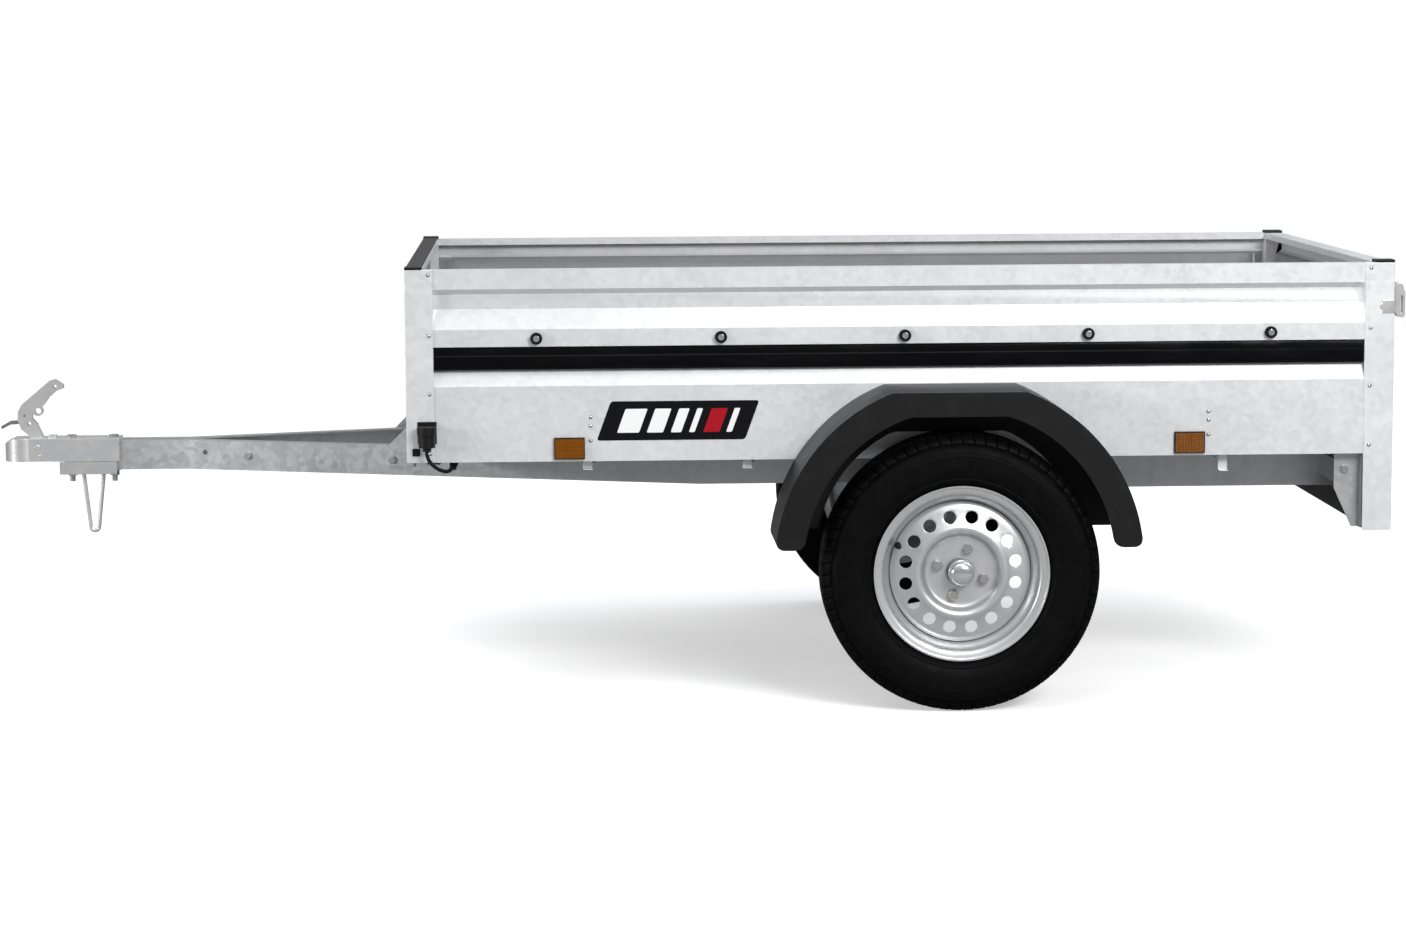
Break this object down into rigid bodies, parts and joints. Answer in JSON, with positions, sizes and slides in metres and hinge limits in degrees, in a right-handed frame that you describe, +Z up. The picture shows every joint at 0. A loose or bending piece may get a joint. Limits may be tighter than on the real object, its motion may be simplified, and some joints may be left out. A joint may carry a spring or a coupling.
{
  "type": "box trailer",
  "caption": "Small single-axle galvanised box trailer with V drawbar, ball coupling, drop-down tailgate, rubber-sprung axle and black mudguards.",
  "frame": {"origin": "on the ground under the middle of the whole trailer's box", "axes": "+X towards the tailgate, -X towards the coupling, -Y the left-hand side, +Z up"},
  "size_m": [3.023, 1.63, 0.919],
  "materials": {
    "galvanised": "bright galvanised steel, satin",
    "wall_sheet": "bright galvanised sheet with faint spangle",
    "zinc_hardware": "zinc plated",
    "fasteners": "zinc plated, bright",
    "dark_steel": "dark forged steel",
    "bearing_steel": "ground steel",
    "black_plastic": "moulded black plastic",
    "strip_black": "black film, glossy",
    "black_rubber": "rubber",
    "red_lens": "red and amber lens",
    "amber_lens": "amber prismatic lens",
    "plywood": "film-faced plywood",
    "rim_silver": "silver paint",
    "tyre": "black rubber"
  },
  "bodies": {
    "chassis": {"drawbar_beam_left": "galvanised", "drawbar_beam_right": "galvanised", "rear_rails": "galvanised", "cross_members": "galvanised", "frame_gussets": "galvanised", "light_board": "galvanised", "number_plate_holder": "black_plastic", "tail_light_housings": "black_plastic", "tail_light_lenses": "red_lens", "floor_panel": "plywood", "side_wall_left": "wall_sheet", "side_wall_right": "wall_sheet", "front_wall": "wall_sheet", "front_posts": "wall_sheet", "rear_posts": "wall_sheet", "plastic_caps": "black_plastic", "side_strips": "strip_black", "tarp_buttons": "black_rubber", "tarp_button_screws": "fasteners", "side_reflectors": "amber_lens", "mudguard_left": "black_plastic", "mudguard_right": "black_plastic", "axle_tube": "galvanised", "axle_brackets": "galvanised", "coupling_body": "zinc_hardware", "coupling_clamp": "zinc_hardware", "support_rod": "zinc_hardware", "coupling_bolts": "fasteners", "connector_plug": "black_plastic", "plug_holder": "black_plastic", "supply_lead": "black_rubber", "lead_clips": "black_plastic", "hinge_leaves": "zinc_hardware", "latch_keepers": "zinc_hardware", "rivets": "fasteners", "frame_bolts": "fasteners", "lashing_hooks": "zinc_hardware"},
    "tailgate": {"tailgate_panel": "wall_sheet", "hinge_straps": "zinc_hardware", "latch_bases": "zinc_hardware"},
    "latch_left": {"latch_lever_left": "zinc_hardware"},
    "latch_right": {"latch_lever_right": "zinc_hardware"},
    "handle": {"coupling_handle": "zinc_hardware"},
    "catch": {"safety_catch": "dark_steel"},
    "jaw": {"ball_jaw": "dark_steel"},
    "arm_left": {"torsion_arm_left": "dark_steel"},
    "arm_right": {"torsion_arm_right": "dark_steel"},
    "wheel_left": {"rim_left": "rim_silver", "tyre_left": "tyre", "hub_left": "dark_steel", "wheel_bearings_left": "bearing_steel", "wheel_bolts_left": "fasteners", "grease_cap_left": "fasteners"},
    "wheel_right": {"rim_right": "rim_silver", "tyre_right": "tyre", "hub_right": "dark_steel", "wheel_bearings_right": "bearing_steel", "wheel_bolts_right": "fasteners", "grease_cap_right": "fasteners"}
  },
  "joints": [
    {"name": "suspension_left", "type": "hinge", "parent": "chassis", "child": "arm_left", "pos_m": [0.41549, -0.57, 0.35662], "axis": [0, -1, 0], "range_deg": [-12, 16], "stiffness_Nm_per_rad": 1100, "springref_deg": -4.58},
    {"name": "wheel_left_spin", "type": "hinge", "parent": "arm_left", "child": "wheel_left", "pos_m": [0.5605, -0.717, 0.289], "axis": [0, 1, 0], "continuous": true},
    {"name": "suspension_right", "type": "hinge", "parent": "chassis", "child": "arm_right", "pos_m": [0.41549, 0.57, 0.35662], "axis": [0, -1, 0], "range_deg": [-12, 16], "stiffness_Nm_per_rad": 1100, "springref_deg": -4.58},
    {"name": "wheel_right_spin", "type": "hinge", "parent": "arm_right", "child": "wheel_right", "pos_m": [0.5605, 0.717, 0.289], "axis": [0, 1, 0], "continuous": true},
    {"name": "tailgate_hinge", "type": "hinge", "parent": "chassis", "child": "tailgate", "pos_m": [1.4985, 0, 0.516], "axis": [0, 1, 0], "range_deg": [0, 178]},
    {"name": "latch_left_lift", "type": "hinge", "parent": "tailgate", "child": "latch_left", "pos_m": [1.4985, -0.593, 0.861], "axis": [0, -1, 0], "range_deg": [0, 85]},
    {"name": "latch_right_lift", "type": "hinge", "parent": "tailgate", "child": "latch_right", "pos_m": [1.4985, 0.593, 0.861], "axis": [0, -1, 0], "range_deg": [0, 85]},
    {"name": "handle_close", "type": "hinge", "parent": "chassis", "child": "handle", "pos_m": [-1.4275, 0, 0.488], "axis": [0, 1, 0], "range_deg": [0, 52]},
    {"name": "catch_squeeze", "type": "hinge", "parent": "handle", "child": "catch", "pos_m": [-1.4575, 0, 0.557], "axis": [0, 1, 0], "range_deg": [0, 10], "stiffness_Nm_per_rad": 0.8},
    {"name": "jaw_swing", "type": "hinge", "parent": "chassis", "child": "jaw", "pos_m": [-1.4215, 0, 0.469], "axis": [0, 1, 0], "range_deg": [0, 10.4]}
  ],
  "couplings": [
    {"joint": "jaw_swing", "follows": "handle_close", "ratio": 0.2}
  ]
}
